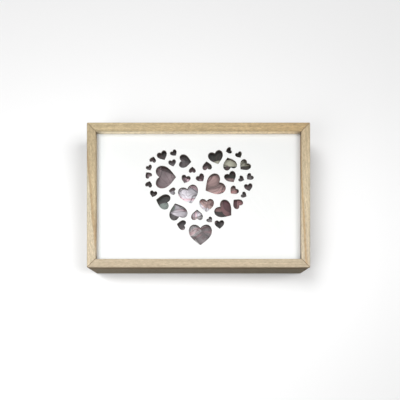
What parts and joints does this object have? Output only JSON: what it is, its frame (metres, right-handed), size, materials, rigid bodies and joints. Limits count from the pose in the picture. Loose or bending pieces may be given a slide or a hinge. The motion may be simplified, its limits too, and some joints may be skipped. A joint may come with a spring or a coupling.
{
  "type": "photo box",
  "caption": "Shallow wooden picture box with mitred rails and a white front board cut through with hearts that together form one big heart over a printed card.",
  "frame": {"origin": "middle of the box's back, on the surface that it rests on", "axes": "+X to the right as seen from the front, +Y up to the upper rail, +Z the way the front faces"},
  "size_m": [0.3, 0.195, 0.04],
  "materials": {
    "pale_wood": "matt, oiled",
    "white_board": "white lacquer",
    "printed_card": "semi-matt print",
    "fibreboard": "raw"
  },
  "bodies": {
    "root": {"rail_bottom": "pale_wood", "rail_right": "pale_wood", "rail_top": "pale_wood", "rail_left": "pale_wood", "front_panel": "white_board", "picture_card": "printed_card", "back_board": "fibreboard"}
  },
  "joints": []
}
